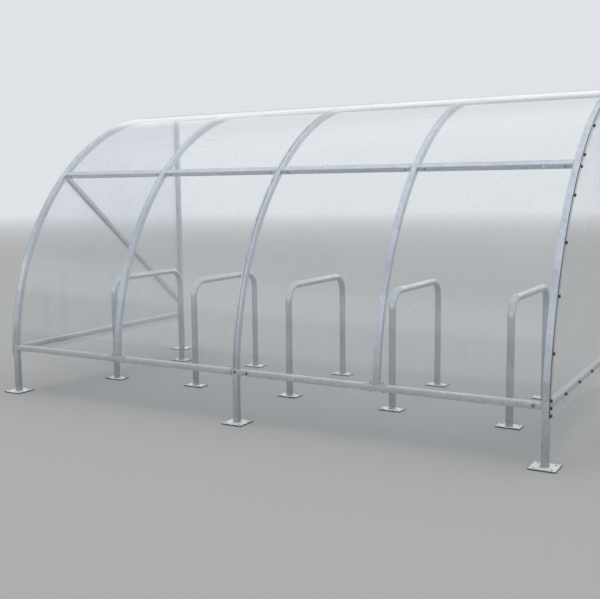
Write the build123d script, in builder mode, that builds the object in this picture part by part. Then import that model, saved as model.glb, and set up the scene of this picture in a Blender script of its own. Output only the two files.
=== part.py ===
from build123d import *

import os
from math import asin, cos, degrees, hypot, radians, sin

# Open-fronted bike shelter: five curved hoops of galvanised box section carry clear sheets.
# X runs along the shelter, -Y is the closed curved side, +Y the open side, Z is up.
# The origin is on the ground, under the middle of the posts.

# Overall layout
bay = 1000.0                  # between two hoop centres
bays = 4
depth = 2090.0                # outside of the hoop legs to outside of the front posts

# Hoops
tube = 40.0                   # outside of the square box section of hoops, posts and rails
tube_wall = 3.0
hoop_radius = 1905.0          # outside of the bend
bend_angle = 86.0             # how far the bend turns, before the hoop runs straight on to the open side
leg_height = 275.0            # upright part of a hoop leg, ground to start of bend

# Rails
rail_underside = 322.0        # ground to the underside of the low rails
purlin_height = 1642.0        # ground to the middle of the purlins
rail_gap = 8.0                # open joint between a rail end and the post
spigot_length = 60.0          # how far a welded spigot reaches into its rail
spigot_wall = 3.0
fit = 0.3                     # clearance of a spigot in its rail, and of a bent piece on its seat

# Feet of the hoops and posts
foot_plate = 150.0
foot_plate_thickness = 8.0
foot_hole = 14.0
foot_hole_spacing = 100.0

# Flange that stands a middle hoop on the low rail
flange_length = 130.0
flange_thickness = 6.0

# Brace in the left end frame, from the hoop at the purlin down to the front post
brace_foot_height = 465.0     # ground to the middle of the brace at the post

# Clear sheets
sheet_thickness = 4.0
sheet_joint = 4.0             # open joint between the two curved sheets, on the middle hoop
sheet_foot_gap = 2.0          # between a curved sheet and the flanges on the low rail under it
end_sheet_thickness = 5.0
end_sheet_bottom = 280.0      # ground to the lower edge of an end sheet

# Stands
stand_tube = 48.3
stand_height = 840.0
stand_length = 866.0          # between the centres of the two legs
stand_bend = 120.0            # radius of the tube's middle line
stand_row = -262.0            # Y of the even row of near legs
stand_plate_length = 155.0    # along X
stand_plate_width = 100.0     # along Y
stand_plate_thickness = 8.0
stand_hole = 14.0
stand_hole_spacing_x = 115.0
stand_hole_spacing_y = 60.0
# Each stand was set out by hand: its shift in X and Y from its place in the even row
stand_shifts = [(-40.0, -58.0), (-102.0, 16.0), (-78.0, 54.0), (-45.0, 26.0), (-9.0, -36.0)]

# Places worked out from the sizes above
half_length = bay * bays / 2
end_face = half_length + tube / 2
back_face = -depth / 2
front_face = depth / 2
leg_centre = back_face + tube / 2
post_centre = front_face - tube / 2
bend_centre_y = back_face + hoop_radius
inner_radius = hoop_radius - tube
middle_radius = hoop_radius - tube / 2
rail_top = rail_underside + tube
rail_middle = rail_underside + tube / 2
bend_end_y = bend_centre_y - inner_radius * cos(radians(bend_angle))
run_length = (front_face - bend_end_y) / sin(radians(bend_angle))
purlin_angle = degrees(asin((purlin_height - leg_height) / middle_radius))
flange_top = rail_top + flange_thickness
spigot_size = tube - 2 * tube_wall - 2 * fit
rail_length = bay - tube - 2 * rail_gap
hoop_places = [bay * i - half_length for i in range(bays + 1)]


def on_bend(angle, radius):
    """Y and Z of a point of the bend. The angle counts from the top of the leg, up and over."""
    y = bend_centre_y - radius * cos(radians(angle))
    z = leg_height + radius * sin(radians(angle))
    return y, z


def on_run(back, radius):
    """Y and Z of a point of the straight end of a hoop, a distance back from its front end."""
    y, z = on_bend(bend_angle, radius)
    along = run_length - back
    return y + along * sin(radians(bend_angle)), z + along * cos(radians(bend_angle))


def across_hoop(x, place, angle, side):
    """Plane that faces along X, with its middle at a place on the hoop, turned with the hoop."""
    along_hoop = (0, sin(radians(angle)), cos(radians(angle)))
    return Plane(origin=(x, *place), x_dir=along_hoop, z_dir=(side, 0, 0))


def box_section(size, wall):
    """Square ring in the current sketch."""
    Rectangle(size, size)
    Rectangle(size - 2 * wall, size - 2 * wall, mode=Mode.SUBTRACT)


def tube_from(start, length):
    """Straight box section that leaves the start plane squarely."""
    with BuildSketch(start) as section:
        box_section(tube, tube_wall)
    extrude(section.sketch, amount=length)


def spigot_from(start):
    """Welded stub that a rail end slides over."""
    with BuildSketch(start) as section:
        box_section(spigot_size, spigot_wall)
    extrude(section.sketch, amount=rail_gap + spigot_length)


def hoop_outline(overhang=0):
    """Everything under the hoops, as a sketch on a plane across the shelter."""
    radius = hoop_radius + overhang
    back = bend_centre_y - radius
    front, top = on_run(-tube, radius)
    with BuildLine() as border:
        bend = CenterArc((bend_centre_y, leg_height), radius, 180, -bend_angle)
        Polyline(bend @ 1, (front, top), (front, 0), (back, 0), bend @ 0)
    make_face(border.line)


def save(piece, name):
    piece.part.label = name
    export_step(piece.part, f"parts/{name}.step")


os.makedirs("parts", exist_ok=True)

# Places of the rails that are turned with the hoops
purlin_place = on_bend(purlin_angle, middle_radius)
front_rail_place = on_run(tube / 2, middle_radius)

# Hoops: the first, middle and last stand on the ground, the others on the low rail
for number, x in enumerate(hoop_places, start=1):
    on_ground = number % 2 == 1
    at_end = number in (1, bays + 1)
    hoop_end = on_run(0 if at_end else tube + fit, middle_radius)
    with BuildPart() as rib:
        with BuildLine(Plane.YZ.offset(x)):
            Line((leg_centre, foot_plate_thickness), (leg_centre, leg_height))
            bend = CenterArc((bend_centre_y, leg_height), middle_radius, 180, -bend_angle)
            Line(bend @ 1, Plane.YZ.offset(x).from_local_coords(hoop_end))
        with BuildSketch(Plane.XY.offset(foot_plate_thickness)):
            with Locations((x, leg_centre)):
                box_section(tube, tube_wall)
        sweep()
        if not on_ground:
            split(bisect_by=Plane.XY.offset(flange_top), keep=Keep.TOP)
        for side in (-1, 1):
            if (number == 1 and side < 0) or (number == bays + 1 and side > 0):
                continue
            face = x + side * tube / 2
            spigot_from(across_hoop(face, purlin_place, purlin_angle, side))
            if on_ground:
                spigot_from(Plane(origin=(face, leg_centre, rail_middle), z_dir=(side, 0, 0)))
            if at_end:
                spigot_from(across_hoop(face, front_rail_place, bend_angle, side))
        if at_end:
            spigot_from(Plane(origin=(x, back_face + tube, rail_middle), z_dir=(0, 1, 0)))
    save(rib, f"rib_{number}")

# Front posts, cut at the top to the underside of the end hoops
for x, end in ((-half_length, "left"), (half_length, "right")):
    with BuildPart() as post:
        with BuildSketch(Plane.XY.offset(foot_plate_thickness)):
            with Locations((x, post_centre)):
                box_section(tube, tube_wall)
        extrude(amount=leg_height + hoop_radius)
        with BuildSketch(Plane.YZ.offset(x)):
            hoop_outline(-tube - fit)
        extrude(amount=tube, both=True, mode=Mode.INTERSECT)
        spigot_from(Plane(origin=(x, front_face - tube, rail_middle), z_dir=(0, -1, 0)))
    save(post, f"front_post_{end}")

# Foot plates
feet = {f"rib_{i + 1}": (hoop_places[i], leg_centre) for i in range(0, bays + 1, 2)}
feet["front_left"] = (-half_length, post_centre)
feet["front_right"] = (half_length, post_centre)
for name, place in feet.items():
    with BuildPart() as foot:
        with BuildSketch():
            with Locations(place):
                Rectangle(foot_plate, foot_plate)
                with GridLocations(foot_hole_spacing, foot_hole_spacing, 2, 2):
                    Circle(foot_hole / 2, mode=Mode.SUBTRACT)
        extrude(amount=foot_plate_thickness)
    save(foot, f"foot_plate_{name}")

# Low rails, one for every two bays, butted between the legs that stand on the ground
for x, end in ((-half_length, "left"), (0, "right")):
    with BuildPart() as low_rail:
        start = x + tube / 2 + rail_gap
        tube_from(Plane(origin=(start, leg_centre, rail_middle), z_dir=(1, 0, 0)), rail_length + bay)
    save(low_rail, f"low_rail_{end}")

# End rails, from the end hoop's leg to the front post
for x, end in ((-half_length, "left"), (half_length, "right")):
    with BuildPart() as end_rail:
        start = back_face + tube + rail_gap
        tube_from(Plane(origin=(x, start, rail_middle), z_dir=(0, 1, 0)), depth - 2 * tube - 2 * rail_gap)
    save(end_rail, f"end_rail_{end}")

# Purlins, one a bay, turned with the bend
for number, x in enumerate(hoop_places[:-1], start=1):
    with BuildPart() as purlin:
        start = x + tube / 2 + rail_gap
        tube_from(across_hoop(start, purlin_place, purlin_angle, 1), rail_length)
    save(purlin, f"purlin_{number}")

# Front rail along the open side, between the end hoops
with BuildPart() as front_rail:
    start = -half_length + tube / 2 + rail_gap
    front_rail_length = 2 * half_length - tube - 2 * rail_gap
    tube_from(across_hoop(start, front_rail_place, bend_angle, 1), front_rail_length)
save(front_rail, "front_rail")

# Flanges under the hoops that stand on the low rails
for number in range(2, bays + 1, 2):
    with BuildPart() as flange:
        with BuildSketch(Plane.XY.offset(rail_top)):
            with Locations((hoop_places[number - 1], leg_centre)):
                Rectangle(flange_length, tube)
        extrude(amount=flange_thickness)
    save(flange, f"rib_flange_{number}")

# Brace of the left end frame, cut to the hoop and to the post
brace_top_y, brace_top_z = on_bend(purlin_angle, inner_radius)
brace_run = front_face - tube - brace_top_y
brace_fall = brace_top_z - brace_foot_height
brace_line = (0, brace_run, -brace_fall)
brace_reach = hypot(brace_run, brace_fall) + 2 * tube
brace_start = Plane(origin=(-half_length, brace_top_y, brace_top_z), x_dir=(1, 0, 0), z_dir=brace_line)
with BuildPart() as end_brace:
    tube_from(brace_start.offset(-tube), brace_reach)
    with BuildSketch(Plane.YZ.offset(-half_length)):
        hoop_outline(-tube - fit)
        with Locations((front_face - tube, 0)):
            Rectangle(2 * depth, 4 * depth, align=(Align.MAX, Align.CENTER), mode=Mode.INTERSECT)
    extrude(amount=tube, both=True, mode=Mode.INTERSECT)
save(end_brace, "end_brace_left")

# Curved sheets, two bays each, laid on the outside of the hoops from above the low rail to the front
sheet_inside = hoop_radius + fit
sheet_outside = sheet_inside + sheet_thickness
sheet_start_angle = degrees(asin((flange_top + sheet_foot_gap - leg_height) / sheet_inside))
for low_x, high_x, end in ((-end_face, -sheet_joint / 2, "left"), (sheet_joint / 2, end_face, "right")):
    with BuildPart() as sheet:
        with BuildSketch(Plane.YZ.offset(low_x)):
            with BuildLine():
                centre = (bend_centre_y, leg_height)
                turn = bend_angle - sheet_start_angle
                outer = CenterArc(centre, sheet_outside, 180 - sheet_start_angle, -turn)
                inner = CenterArc(centre, sheet_inside, 180 - sheet_start_angle, -turn)
                Polyline(outer @ 1, on_run(0, sheet_outside), on_run(0, sheet_inside), inner @ 1)
                Line(outer @ 0, inner @ 0)
            make_face()
        extrude(amount=high_x - low_x)
    save(sheet, f"curved_sheet_{end}")

# Flat end sheets, bolted to the outside of the end frames
for side, end in ((-1, "left"), (1, "right")):
    with BuildPart() as end_sheet:
        with BuildSketch(Plane.YZ.offset(side * end_face)):
            hoop_outline()
            with Locations((0, end_sheet_bottom)):
                Rectangle(depth, 2 * hoop_radius, align=(Align.CENTER, Align.MIN), mode=Mode.INTERSECT)
        extrude(amount=side * end_sheet_thickness)
    save(end_sheet, f"end_sheet_{end}")

# Bike stands: a bent round tube on two plates each
stand_pitch = 2 * half_length / len(stand_shifts)
first_stand = -half_length + stand_pitch / 2
stand_top = stand_height - stand_tube / 2
for number, (shift_x, shift_y) in enumerate(stand_shifts, start=1):
    x = first_stand + (number - 1) * stand_pitch + shift_x
    near = stand_row + shift_y
    far = near + stand_length
    foot_z = stand_plate_thickness
    with BuildPart() as stand:
        with BuildLine(Plane.YZ.offset(x)):
            FilletPolyline((near, foot_z), (near, stand_top), (far, stand_top), (far, foot_z), radius=stand_bend)
        with BuildSketch(Plane.XY.offset(foot_z)):
            with Locations((x, near)):
                Circle(stand_tube / 2)
        sweep()
    save(stand, f"stand_{number}")
    for y, leg in ((near, "near"), (far, "far")):
        with BuildPart() as plate:
            with BuildSketch():
                with Locations((x, y)):
                    Rectangle(stand_plate_length, stand_plate_width)
                    with GridLocations(stand_hole_spacing_x, stand_hole_spacing_y, 2, 2):
                        Circle(stand_hole / 2, mode=Mode.SUBTRACT)
            extrude(amount=stand_plate_thickness)
        save(plate, f"stand_{number}_plate_{leg}")
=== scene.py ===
"""Looks of an open-fronted bike shelter: galvanised hoops and rails, clear sheets, tube stands."""

import logging
import math
import random
from collections.abc import Mapping, Sequence
from dataclasses import dataclass
from enum import Enum
from functools import cached_property
from typing import Any

import bmesh
import bpy
from mathutils import Matrix, Vector


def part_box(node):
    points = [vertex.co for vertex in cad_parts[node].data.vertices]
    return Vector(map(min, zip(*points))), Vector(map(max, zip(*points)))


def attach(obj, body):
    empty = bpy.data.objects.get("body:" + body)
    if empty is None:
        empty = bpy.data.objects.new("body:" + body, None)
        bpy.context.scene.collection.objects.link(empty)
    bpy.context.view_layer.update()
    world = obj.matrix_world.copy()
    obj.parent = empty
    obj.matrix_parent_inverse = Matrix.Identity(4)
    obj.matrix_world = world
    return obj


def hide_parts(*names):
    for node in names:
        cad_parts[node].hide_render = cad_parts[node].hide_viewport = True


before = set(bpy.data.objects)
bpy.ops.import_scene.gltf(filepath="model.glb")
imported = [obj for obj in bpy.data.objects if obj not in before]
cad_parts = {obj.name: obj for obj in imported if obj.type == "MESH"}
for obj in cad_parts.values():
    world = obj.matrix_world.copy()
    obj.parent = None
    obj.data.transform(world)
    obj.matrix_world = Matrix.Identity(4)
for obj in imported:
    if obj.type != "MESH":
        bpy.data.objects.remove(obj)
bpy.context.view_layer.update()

LOG = logging.getLogger("bike_shelter")
BODY = "root"
SMOOTH_LIMIT = math.radians(32)
# In metres: places that count as equal, corners that merge, and the narrowest ring of a turned piece.
CLOSE = 1e-7
SAME_PLACE = 1e-6
NEARLY_POINT = 1e-5
ROUND_SIDES = 24
HEX_SIDES = 6
DOME_STEPS = 6

Colour = tuple[float, float, float]
Span = tuple[float, float]
Outline = list[tuple[float, float]]
Ring = list[bmesh.types.BMVert]
Socket = bpy.types.NodeSocket
Material = bpy.types.Material
X_AXIS = Vector((1, 0, 0))
Y_AXIS = Vector((0, 1, 0))
Z_AXIS = Vector((0, 0, 1))
QUARTERS = [(x, y) for x in (-1, 1) for y in (-1, 1)]


class Slot(Enum):
    """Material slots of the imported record."""

    SECTION = "galvanised_steel"
    PLATE = "galvanised_plate"
    TUBE = "galvanised_tube"
    CURVED = "clear_curved_sheet"
    FLAT = "clear_end_sheet"


class Head(Enum):
    """Kinds of fixing, each with the share of its height that stands straight."""

    DOME = 0.18
    HEX = 0.82
    CAP = 0.45


class Value:
    """A number that varies over a surface, with Math nodes behind its operators."""

    def __init__(self, bench: "Bench", socket: Socket) -> None:
        """Wraps an output socket of a bench's node tree."""
        self.bench = bench
        self.socket = socket

    def math(self, operation: str, *numbers: "Value | float") -> "Value":
        """The result of one Math node on these numbers."""
        node = self.bench.add("ShaderNodeMath", {"operation": operation}, dict(enumerate(numbers)))
        return Value(self.bench, node.outputs[0])

    def __add__(self, other: "Value | float") -> "Value":
        """This plus other."""
        return self.math("ADD", self, other)

    def __sub__(self, other: "Value | float") -> "Value":
        """This less other."""
        return self.math("SUBTRACT", self, other)

    def __rsub__(self, other: float) -> "Value":
        """A number less this."""
        return self.math("SUBTRACT", other, self)

    def __mul__(self, other: "Value | float") -> "Value":
        """This times other."""
        return self.math("MULTIPLY", self, other)

    __radd__ = __add__
    __rmul__ = __mul__

    def most(self, other: "Value | float") -> "Value":
        """The larger of this and other."""
        return self.math("MAXIMUM", self, other)

    def spread(self, low: float, high: float, to_low: float = 0.0, to_high: float = 1.0) -> "Value":
        """Maps a range to another, smoothly and within its limits.

        Args:
            low: start of the range.
            high: end of the range.
            to_low: result at low and before it.
            to_high: result at high and past it.

        Returns:
            The mapped value.
        """
        inputs = {"Value": self, "From Min": low, "From Max": high, "To Min": to_low, "To Max": to_high}
        node = self.bench.add("ShaderNodeMapRange", {"interpolation_type": "SMOOTHSTEP"}, inputs)
        return Value(self.bench, node.outputs[0])


class Bench:
    """Adds and links the nodes of one node tree."""

    def __init__(self, tree: bpy.types.NodeTree) -> None:
        """Starts on an emptied node tree."""
        self.tree = tree
        tree.nodes.clear()

    def add(
        self,
        kind: str,
        settings: Mapping[str, Any] | None = None,
        inputs: Mapping[str | int, Any] | None = None,
    ) -> bpy.types.Node:
        """Adds one node.

        Args:
            kind: Blender's type name of the node.
            settings: the node's own properties, set before its sockets.
            inputs: numbers, colours, values or sockets, by socket name or number.

        Returns:
            The node.
        """
        node = self.tree.nodes.new(kind)
        for name, setting in (settings or {}).items():
            setattr(node, name, setting)
        for name, given in (inputs or {}).items():
            source = given.socket if isinstance(given, Value) else given
            if isinstance(source, Socket):
                self.tree.links.new(source, node.inputs[name])
            elif isinstance(source, tuple) and node.inputs[name].type == "RGBA":
                node.inputs[name].default_value = (*source, 1.0)
            else:
                node.inputs[name].default_value = source
        return node

    def value(self, node: bpy.types.Node, output: str | int = 0) -> Value:
        """One output of a node as a Value."""
        return Value(self, node.outputs[output])

    def shader(self, kind: str, inputs: Mapping[str | int, Any]) -> Socket:
        """The output of one shader node."""
        return self.add(f"ShaderNode{kind}", None, inputs).outputs[0]

    @cached_property
    def point(self) -> Socket:
        """The surface point in the object's own metres."""
        return self.add("ShaderNodeTexCoord").outputs["Object"]

    def height(self, point: Socket) -> Value:
        """Height of the point above the ground."""
        return self.value(self.add("ShaderNodeSeparateXYZ", None, {0: point}), "Z")

    def facing_up(self, low: float = 0.75, high: float = 0.97) -> Value:
        """1 on faces that look up and 0 on upright ones, from the upward part of their normal."""
        return self.height(self.add("ShaderNodeNewGeometry").outputs["Normal"]).spread(low, high)

    def cells(self, width: float) -> bpy.types.Node:
        """Random cells of that mean width."""
        return self.add("ShaderNodeTexVoronoi", None, {"Vector": self.point, "Scale": 1 / width})

    def crystals(self, width: float) -> Value:
        """One random number from 0 to 1 for each crystal of that width."""
        colours = self.cells(width).outputs["Color"]
        return self.value(self.add("ShaderNodeSeparateColor", None, {0: colours}))

    def mixed(self, share: Value, first: Socket | Colour, second: Socket | Colour) -> Socket:
        """A colour between first, at share 0, and second, at share 1."""
        return self.add("ShaderNodeMix", {"data_type": "RGBA"}, {0: share, 6: first, 7: second}).outputs[2]

    def bump(self, height: Value, depth: float, strength: float = 1.0) -> Socket:
        """A normal for relief of that depth in metres."""
        inputs = {"Height": height, "Distance": depth, "Strength": strength}
        return self.add("ShaderNodeBump", None, inputs).outputs[0]

    def show(self, shader: Socket, output: str = "ShaderNodeOutputMaterial") -> None:
        """Makes the shader the tree's surface."""
        self.add(output, None, {"Surface": shader})


@dataclass(frozen=True)
class Noise:
    """Soft noise: the width of its clouds, their finer detail, the span that counts and a stretch by axis."""

    width: float
    detail: float = 3.0
    rough: float = 0.55
    span: Span | None = None
    stretch: tuple[float, float, float] | None = None

    def over(self, bench: Bench) -> Value:
        """Adds the noise.

        Args:
            bench: the node tree that gets it.

        Returns:
            A value around 0.5, or from 0 to 1 over the span.
        """
        point = bench.point
        if self.stretch is not None:
            settings, inputs = {"operation": "MULTIPLY"}, {0: point, 1: self.stretch}
            point = bench.add("ShaderNodeVectorMath", settings, inputs).outputs[0]
        inputs = {"Vector": point, "Scale": 1 / self.width, "Detail": self.detail, "Roughness": self.rough}
        noise = bench.value(bench.add("ShaderNodeTexNoise", None, inputs), "Fac")
        return noise if self.span is None else noise.spread(*self.span)


@dataclass(frozen=True)
class Specks:
    """Round specks: their mean distance, their radius as a share of it, and where they lie."""

    distance: float
    size: float
    where: Noise
    soft: float = 0.6

    def over(self, bench: Bench) -> Value:
        """1 in a speck and 0 outside."""
        cells = bench.value(bench.cells(self.distance), "Distance")
        return cells.spread(self.size, self.size * self.soft) * self.where.over(bench)


@dataclass(frozen=True)
class Finish:
    """A finish by its material's name. Each kind has its own shader."""

    name: str

    def material(self) -> Material:
        """Builds the material.

        Returns:
            The material, with its nodes in place.
        """
        material = bpy.data.materials.new(self.name)
        material.use_nodes = True
        bench = Bench(material.node_tree)
        bench.show(self.shader(bench))
        return material

    def shader(self, bench: Bench) -> Socket:
        """The shader of its surface."""
        raise NotImplementedError


@dataclass(frozen=True)
class Galvanised(Finish):
    """Hot-dip zinc: fine crystals, soft clouds, dust on top faces laid thick enough to paint them lighter,
    splashed dirt near the ground, and painted shade on upright faces there.
    """

    dull: Colour
    bright: Colour
    tone_span: Span = (0.25, 0.75)
    metallic: float = 0.88
    smoothest: float = 0.28
    roughest: float = 0.42
    gloss_span: Span = (0.3, 0.7)
    crystal_width: float = 0.010
    crystal_share: float = 0.20
    crystal_relief: float = 0.4
    grain: Noise = Noise(0.006, 3.0, 0.6)
    grain_share: float = 0.22
    clouds: Noise = Noise(0.10, 4.0, 0.6)
    runs: Noise = Noise(0.02, 2.0, stretch=(1.0, 1.0, 0.12))
    run_share: float = 0.3
    relief: float = 0.00010
    relief_strength: float = 0.5
    # Pale dust on upward faces; its share is high so that it also paints top faces lighter.
    dust: Colour = (0.72, 0.69, 0.63)
    dust_and_top_light_share: float = 0.80
    settling: Noise = Noise(0.03, 5.0, 0.75, (0.3, 0.7))
    # Colour and reach of splashed dirt, also used as painted shade on upright faces near the ground.
    dirt_and_shade: Colour = (0.20, 0.19, 0.175)
    dirt_and_shade_height: float = 0.15
    dirt_share: float = 0.4
    # Share of painted shade on upright faces near the ground, strongest at the ground.
    painted_side_shade: float = 0.0
    splashes: Noise = Noise(0.035, 5.0, 0.7, (0.42, 0.68))
    soiled_roughness: float = 0.4

    def shader(self, bench: Bench) -> Socket:
        """Builds the shader.

        Args:
            bench: the material's node tree.

        Returns:
            The shader's output.
        """
        crystals = bench.crystals(self.crystal_width)
        grain = self.grain.over(bench)
        runs = self.runs.over(bench) * self.run_share
        clouds = self.clouds.over(bench) * (1 - self.run_share) + runs
        cloud_share = 1 - self.crystal_share - self.grain_share
        tone = crystals * self.crystal_share + grain * self.grain_share + clouds * cloud_share
        zinc = bench.mixed(tone.spread(*self.tone_span), self.dull, self.bright)
        upward = bench.facing_up()
        low_down = bench.height(bench.point).spread(self.dirt_and_shade_height, 0.0)
        splashes = self.splashes.over(bench) * self.dirt_share
        # Real splashes, with painted shade on upright faces near the ground.
        splashed_and_shaded = low_down * splashes.most((1 - upward) * self.painted_side_shade)
        # Dust on upward faces, also painted light on top faces.
        dust_and_top_light = upward * self.settling.over(bench) * self.dust_and_top_light_share
        soiled = splashed_and_shaded.most(dust_and_top_light)
        gloss = tone.spread(*self.gloss_span, self.roughest, self.smoothest)
        relief = grain * (1 - self.crystal_relief) + crystals * self.crystal_relief
        inputs = {
            "Base Color": bench.mixed(splashed_and_shaded, bench.mixed(dust_and_top_light, zinc, self.dust), self.dirt_and_shade),
            "Metallic": (1 - soiled) * self.metallic,
            "Roughness": gloss + soiled * self.soiled_roughness,
            "Normal": bench.bump(relief, self.relief, self.relief_strength),
        }
        return bench.shader("BsdfPrincipled", inputs)


@dataclass(frozen=True)
class Weld(Finish):
    """Zinc-coated weld bead, lumpy and a little duller than the steel."""

    name: str = "zinc_coated_weld"
    dull: Colour = (0.33, 0.35, 0.36)
    bright: Colour = (0.56, 0.58, 0.59)
    metallic: float = 0.6
    smoothest: float = 0.42
    roughest: float = 0.6
    lumps: Noise = Noise(0.006)
    tone_span: Span = (0.3, 0.7)
    relief: float = 0.0008

    def shader(self, bench: Bench) -> Socket:
        """Builds the shader.

        Args:
            bench: the material's node tree.

        Returns:
            The shader's output.
        """
        lumps = self.lumps.over(bench)
        inputs = {
            "Base Color": bench.mixed(lumps.spread(*self.tone_span), self.dull, self.bright),
            "Metallic": self.metallic,
            "Roughness": lumps.spread(*self.tone_span, self.roughest, self.smoothest),
            "Normal": bench.bump(lumps, self.relief),
        }
        return bench.shader("BsdfPrincipled", inputs)


@dataclass(frozen=True)
class FixingFinish(Finish):
    """Finish of bolts, nuts and screws, with worn and dirty patches."""

    clean: Colour
    worn: Colour
    metallic: float
    roughness: float
    worn_roughness: float = 0.2
    wear: Noise = Noise(0.007, 3.0, 0.65, (0.42, 0.66))
    relief: float = 0.0001

    def shader(self, bench: Bench) -> Socket:
        """Builds the shader.

        Args:
            bench: the material's node tree.

        Returns:
            The shader's output.
        """
        wear = self.wear.over(bench)
        inputs = {
            "Base Color": bench.mixed(wear, self.clean, self.worn),
            "Metallic": self.metallic,
            "Roughness": wear * self.worn_roughness + self.roughness,
            "Normal": bench.bump(wear, self.relief),
        }
        return bench.shader("BsdfPrincipled", inputs)


@dataclass(frozen=True)
class ClearPlastic(Finish):
    """Clear sheet with a grey-blue tint, a film of dust, wipe and rain marks, specks, droppings and algae."""

    tint: Colour = (0.93, 0.945, 0.958)
    shade_tint: Colour = (0.93, 0.945, 0.955)
    roughness: float = 0.015
    refraction: float = 1.49
    film: Colour = (0.60, 0.63, 0.66)
    film_roughness: float = 0.75
    haze: float = 0.012
    marks: float = 0.05
    clouds: Noise = Noise(0.55, 4.0, 0.6, (0.35, 0.75))
    runs: Noise = Noise(0.028, 4.0, 0.6, (0.45, 0.8), (1.0, 0.1, 0.1))
    run_share: float = 0.5
    wipes: Noise = Noise(0.05, 3.0, 0.55, (0.5, 0.8), (0.12, 1.0, 1.0))
    wall_wipes: float = 0.3
    roof_wipes: float = 0.9
    specks: Specks = Specks(0.055, 0.10, Noise(0.4, 2.0, 0.55, (0.48, 0.62)))
    speck_film: float = 0.4
    speck_tone: float = 0.6
    dropping: Colour = (0.86, 0.86, 0.82)
    droppings: Specks = Specks(0.075, 0.11, Noise(0.5, 2.0, 0.55, (0.52, 0.6)))
    dropping_film: float = 0.7
    roof_from: float = 1.45
    roof_blend: float = 0.3
    algae: Colour = (0.20, 0.235, 0.13)
    algae_patches: Noise = Noise(0.02, 5.0, 0.75, (0.5, 0.72))
    algae_film: float = 0.3
    algae_height: float = 0.03
    edge_from: float = 0.28

    def shader(self, bench: Bench) -> Socket:
        """Builds the shader: film over clear plastic, and a plain tint for rays of light.

        Args:
            bench: the material's node tree.

        Returns:
            The shader's output.
        """
        height = bench.height(bench.point)
        roof = height.spread(self.roof_from, self.roof_from + self.roof_blend)
        low_down = height.spread(self.edge_from + self.algae_height, self.edge_from)
        algae = low_down * self.algae_patches.over(bench)
        specks = self.specks.over(bench)
        droppings = self.droppings.over(bench) * roof
        wipes = self.wipes.over(bench) * (roof * self.roof_wipes + self.wall_wipes)
        streaks = wipes + self.runs.over(bench) * self.run_share
        dust = self.clouds.over(bench) * self.marks + streaks * self.marks + self.haze
        share = dust.most(specks * self.speck_film).most(algae * self.algae_film)
        share = share.most(droppings * self.dropping_film)
        tone = bench.mixed(algae.most(specks * self.speck_tone), self.film, self.algae)
        tone = bench.mixed(droppings, tone, self.dropping)
        film = bench.shader("BsdfPrincipled", {"Base Color": tone, "Roughness": self.film_roughness})
        inputs = {
            "Base Color": self.tint,
            "Roughness": self.roughness,
            "IOR": self.refraction,
            "Transmission Weight": 1.0,
        }
        surface = bench.shader("MixShader", {0: share, 1: bench.shader("BsdfPrincipled", inputs), 2: film})
        through = bench.shader("BsdfTransparent", {"Color": self.shade_tint})
        lamp_ray = bench.value(bench.add("ShaderNodeLightPath"), "Is Shadow Ray")
        return bench.shader("MixShader", {0: lamp_ray, 1: surface, 2: through})


@dataclass(frozen=True)
class Box:
    """The room that a CAD node takes up."""

    low: Vector
    high: Vector

    @classmethod
    def of(cls, node: str) -> "Box":
        """Reads a node's box from the frame."""
        return cls(*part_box(node))

    @property
    def middle(self) -> Vector:
        """The box's centre."""
        return (self.low + self.high) / 2

    @property
    def top(self) -> Vector:
        """The middle of the upper face."""
        return Vector((self.middle.x, self.middle.y, self.high.z))

    @property
    def reach(self) -> Span:
        """Half the length and half the width."""
        return ((self.high.x - self.low.x) / 2, (self.high.y - self.low.y) / 2)

    def insets(self, axis: int, first: float, last: float) -> Span:
        """Two places along an axis, set in from the ends of the box."""
        return (self.low[axis] + first, self.high[axis] - last)


@dataclass(frozen=True)
class Station:
    """One place on a run of steel, with the two directions of its cross-section."""

    at: Vector
    along: Vector
    across: Vector

    def put(self, outline: Outline) -> list[Vector]:
        """The points of an outline laid square to the run."""
        up = self.along.cross(self.across)
        return [self.at + self.across * u + up * v for u, v in outline]


@dataclass(frozen=True)
class Cut:
    """A saw cut: the plane that an end of a run is cut to."""

    point: Vector
    normal: Vector

    def slide(self, place: Vector, along: Vector) -> Vector:
        """Moves a place along the run to the cut."""
        return place + along * ((self.point - place).dot(self.normal) / along.dot(self.normal))


def quarter_turn(step: int, steps: int) -> float:
    """Angle of one step of a quarter turn."""
    return step / steps * math.pi / 2


def rounded_square(size: float, corner: float, steps: int = 4) -> Outline:
    """Outline of a box section.

    Args:
        size: width over the flats.
        corner: radius of the corners.
        steps: straight pieces in each corner.

    Returns:
        The outline, counter-clockwise.
    """
    reach = size / 2 - corner
    points = []
    for quarter in range(4):
        start = quarter * math.pi / 2
        diagonal = start + math.pi / 4
        x, y = math.copysign(reach, math.cos(diagonal)), math.copysign(reach, math.sin(diagonal))
        for step in range(steps + 1):
            angle = start + quarter_turn(step, steps)
            points.append((x + corner * math.cos(angle), y + corner * math.sin(angle)))
    return points


def circle(radius: float, steps: int) -> Outline:
    """Outline of a round bar."""
    angles = [math.tau * step / steps for step in range(steps)]
    return [(radius * math.cos(angle), radius * math.sin(angle)) for angle in angles]


def rectangle(width: float, height: float, ease: float) -> Outline:
    """Outline of a flat strip with eased corners.

    Args:
        width: its width.
        height: its thickness.
        ease: size of the cut corners.

    Returns:
        The outline, counter-clockwise.
    """
    x, y = width / 2, height / 2
    points = [(x, ease - y), (x, y - ease), (x - ease, y), (ease - x, y)]
    return points + [(-u, -v) for u, v in points]


def row(first: float, limit: float, step: float) -> list[float]:
    """Places in a row, from the first to before the limit."""
    return [first + step * number for number in range(math.ceil((limit - first) / step))]


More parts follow.
